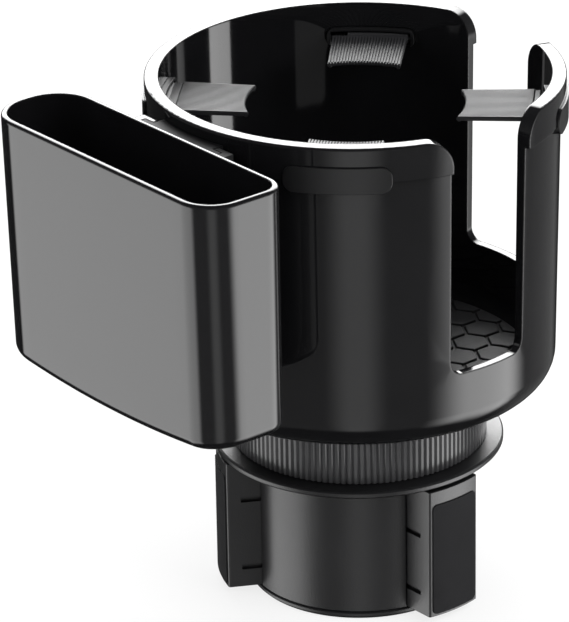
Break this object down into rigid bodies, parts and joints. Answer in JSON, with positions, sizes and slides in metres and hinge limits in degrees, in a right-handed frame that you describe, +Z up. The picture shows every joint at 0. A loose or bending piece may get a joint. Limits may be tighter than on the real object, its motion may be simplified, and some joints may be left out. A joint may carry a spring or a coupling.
{
  "type": "car cup holder",
  "caption": "Cup holder on a clamping base for a car: turn the ribbed ring to push the feet out; flaps in the rim grip a bottle, side box lifts off.",
  "frame": {"origin": "centre of the base's underside, on the cup's axis, on the surface it stands on", "axes": "+Z up along the cup's axis; the side box hangs towards -X; the handle slots open towards -Y and +X"},
  "size_m": [0.1403, 0.1085, 0.1453],
  "materials": {
    "gloss_black": "gloss",
    "plug_black": "satin",
    "matte_black": "fine texture",
    "inner_plastic": "satin",
    "ring_rubber": "ribbed",
    "flap_rubber": "ribbed satin",
    "mat_rubber": "matte",
    "pad_rubber": "matte",
    "pin_steel": "ground",
    "spring_steel": "drawn wire",
    "screw_steel": "zinc plated"
  },
  "bodies": {
    "holder": {"cup_shell": "gloss_black", "floor_mat": "mat_rubber", "flap_housing_front_left": "plug_black", "flap_pin_front_left": "pin_steel", "flap_spring_front_left": "spring_steel", "flap_housing_front_right": "plug_black", "flap_pin_front_right": "pin_steel", "flap_spring_front_right": "spring_steel", "flap_housing_rear_right": "plug_black", "flap_pin_rear_right": "pin_steel", "flap_spring_rear_right": "spring_steel", "flap_housing_rear_left": "plug_black", "flap_pin_rear_left": "pin_steel", "flap_spring_rear_left": "spring_steel", "base_housing": "matte_black", "bottom_cover": "matte_black", "cover_screw_1": "screw_steel", "hub_screw_1": "screw_steel", "cover_screw_2": "screw_steel", "hub_screw_2": "screw_steel", "cover_screw_3": "screw_steel", "hub_screw_3": "screw_steel", "rail_plate": "inner_plastic", "rail_screw_1": "screw_steel", "rail_screw_2": "screw_steel"},
    "ring": {"grip_ring": "ring_rubber", "cam_disc": "inner_plastic"},
    "box": {"side_box": "gloss_black"},
    "foot_1_slide": {"foot_1": "matte_black", "foot_pad_1": "pad_rubber", "follower_pin_1": "pin_steel"},
    "foot_2_slide": {"foot_2": "matte_black", "foot_pad_2": "pad_rubber", "follower_pin_2": "pin_steel"},
    "foot_3_slide": {"foot_3": "matte_black", "foot_pad_3": "pad_rubber", "follower_pin_3": "pin_steel"},
    "front_left_flap": {"flap_front_left": "flap_rubber"},
    "front_right_flap": {"flap_front_right": "flap_rubber"},
    "rear_right_flap": {"flap_rear_right": "flap_rubber"},
    "rear_left_flap": {"flap_rear_left": "flap_rubber"}
  },
  "joints": [
    {"name": "ring_turn", "type": "hinge", "parent": "holder", "child": "ring", "pos_m": [0, 0, 0.0423], "axis": [0, 0, 1], "range_deg": [-90, 0]},
    {"name": "foot_1_travel", "type": "slide", "parent": "holder", "child": "foot_1_slide", "axis": [0.0175, -0.9998, 0], "range_m": [-0.0055, 0]},
    {"name": "foot_2_travel", "type": "slide", "parent": "holder", "child": "foot_2_slide", "axis": [0.8572, 0.515, 0], "range_m": [-0.0055, 0]},
    {"name": "foot_3_travel", "type": "slide", "parent": "holder", "child": "foot_3_slide", "axis": [-0.8746, 0.4848, 0], "range_m": [-0.0055, 0]},
    {"name": "front_left_flap_fold", "type": "hinge", "parent": "holder", "child": "front_left_flap", "pos_m": [-0.03507, -0.03507, 0.1358], "axis": [-0.7071, 0.7071, 0], "range_deg": [0, 78], "stiffness_Nm_per_rad": 0.006, "springref_deg": -20.05},
    {"name": "front_right_flap_fold", "type": "hinge", "parent": "holder", "child": "front_right_flap", "pos_m": [0.03507, -0.03507, 0.1358], "axis": [-0.7071, -0.7071, 0], "range_deg": [0, 78], "stiffness_Nm_per_rad": 0.006, "springref_deg": -20.05},
    {"name": "rear_right_flap_fold", "type": "hinge", "parent": "holder", "child": "rear_right_flap", "pos_m": [0.03507, 0.03507, 0.1358], "axis": [0.7071, -0.7071, 0], "range_deg": [0, 78], "stiffness_Nm_per_rad": 0.006, "springref_deg": -20.05},
    {"name": "rear_left_flap_fold", "type": "hinge", "parent": "holder", "child": "rear_left_flap", "pos_m": [-0.03507, 0.03507, 0.1358], "axis": [0.7071, 0.7071, 0], "range_deg": [0, 78], "stiffness_Nm_per_rad": 0.006, "springref_deg": -20.05},
    {"name": "box_lift", "type": "slide", "parent": "holder", "child": "box", "axis": [0, 0, 1], "range_m": [0, 0.048]}
  ],
  "couplings": [
    {"joint": "foot_1_travel", "follows": "ring_turn", "m_per_rad": 0.0035014},
    {"joint": "foot_2_travel", "follows": "ring_turn", "m_per_rad": 0.0035014},
    {"joint": "foot_3_travel", "follows": "ring_turn", "m_per_rad": 0.0035014}
  ]
}
